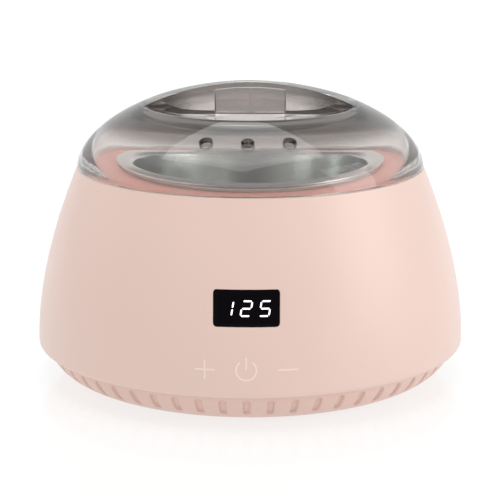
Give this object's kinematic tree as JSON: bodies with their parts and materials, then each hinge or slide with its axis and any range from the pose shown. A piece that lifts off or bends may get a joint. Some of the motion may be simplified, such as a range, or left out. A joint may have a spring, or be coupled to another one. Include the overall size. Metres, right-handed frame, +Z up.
{
  "type": "wax warmer pot",
  "caption": "Round pink wax warmer: flared heated casing with a front display and touch keys, a lift-out aluminium pot and a clear domed lid with a grip bar.",
  "frame": {"origin": "on the table surface, under the middle of the round casing", "axes": "+Z up; -Y is the front with the display; +X is the right-hand side seen from the front"},
  "size_m": [0.2038, 0.2038, 0.1404],
  "materials": {
    "casing_pink": "pale pink moulded plastic with a soft satin face",
    "lid_clear": "clear smoke-grey moulded plastic, polished",
    "pot_aluminium": "spun aluminium, polished inside",
    "bowl_aluminium": "spun and pressed aluminium, satin",
    "display_black": "gloss black display window",
    "board_green": "green glass-fibre circuit board with solder mask",
    "brass": "plain brass",
    "screw_steel": "zinc plated steel",
    "sheet_steel": "stamped sheet steel",
    "foot_rubber": "soft grey-pink rubber",
    "seal_silicone": "grey silicone rubber",
    "heater_mica": "mica wrapped heating band",
    "insulation": "needled glass-fibre blanket",
    "inlet_black": "black moulded plastic",
    "component_blue": "blue moulded component case",
    "component_tan": "taped transformer winding",
    "connector_white": "white nylon",
    "fuse_glass": "glass tube with metal caps",
    "lead_brown": "brown insulated lead",
    "lead_blue": "blue insulated lead",
    "lead_white": "white braided glass-fibre sleeving",
    "ribbon_grey": "grey flat ribbon cable"
  },
  "bodies": {
    "housing": {"outer_shell": "casing_pink", "top_deck": "casing_pink", "bottom_cover": "casing_pink", "heater_bowl": "bowl_aluminium", "heat_shield": "bowl_aluminium", "display_lens": "display_black", "display_module": "display_black", "control_board": "board_green", "power_board": "board_green", "touch_spring_plus": "brass", "touch_spring_power": "brass", "touch_spring_minus": "brass", "bracket_nut": "brass", "inlet_pin_left": "brass", "inlet_pin_right": "brass", "control_screw_left": "screw_steel", "control_screw_right": "screw_steel", "clamp_screw": "screw_steel", "bracket_screw_left": "screw_steel", "bracket_screw_right": "screw_steel", "shield_screw_1": "screw_steel", "shield_screw_2": "screw_steel", "shield_screw_3": "screw_steel", "power_board_screw_1": "screw_steel", "power_board_screw_2": "screw_steel", "case_screw_1": "screw_steel", "case_screw_2": "screw_steel", "case_screw_3": "screw_steel", "case_screw_4": "screw_steel", "band_clamp": "sheet_steel", "bowl_bracket": "sheet_steel", "temperature_sensor": "sheet_steel", "foot_front_left": "foot_rubber", "foot_front_right": "foot_rubber", "foot_rear_left": "foot_rubber", "foot_rear_right": "foot_rubber", "bowl_seal_ring": "seal_silicone", "heater_band": "heater_mica", "insulation_wrap": "insulation", "power_inlet": "inlet_black", "thermal_cutout": "inlet_black", "electrolytic_capacitor": "inlet_black", "relay": "component_blue", "film_capacitor": "component_blue", "transformer": "component_tan", "terminal_block_mains": "connector_white", "terminal_block_heater": "connector_white", "ribbon_header": "connector_white", "sensor_header": "connector_white", "mains_fuse": "fuse_glass", "lead_live": "lead_brown", "lead_neutral": "lead_blue", "heater_lead_1": "lead_white", "heater_lead_2": "lead_white", "sensor_lead": "lead_white", "ribbon_cable": "ribbon_grey"},
    "pot": {"wax_pot": "pot_aluminium"},
    "lid": {"lid": "lid_clear"}
  },
  "joints": [
    {"name": "pot_lift", "type": "slide", "parent": "housing", "child": "pot", "axis": [0, 0, 1], "range_m": [0, 0.075]},
    {"name": "lid_lift", "type": "slide", "parent": "pot", "child": "lid", "axis": [0, 0, 1], "range_m": [0, 0.09]}
  ]
}
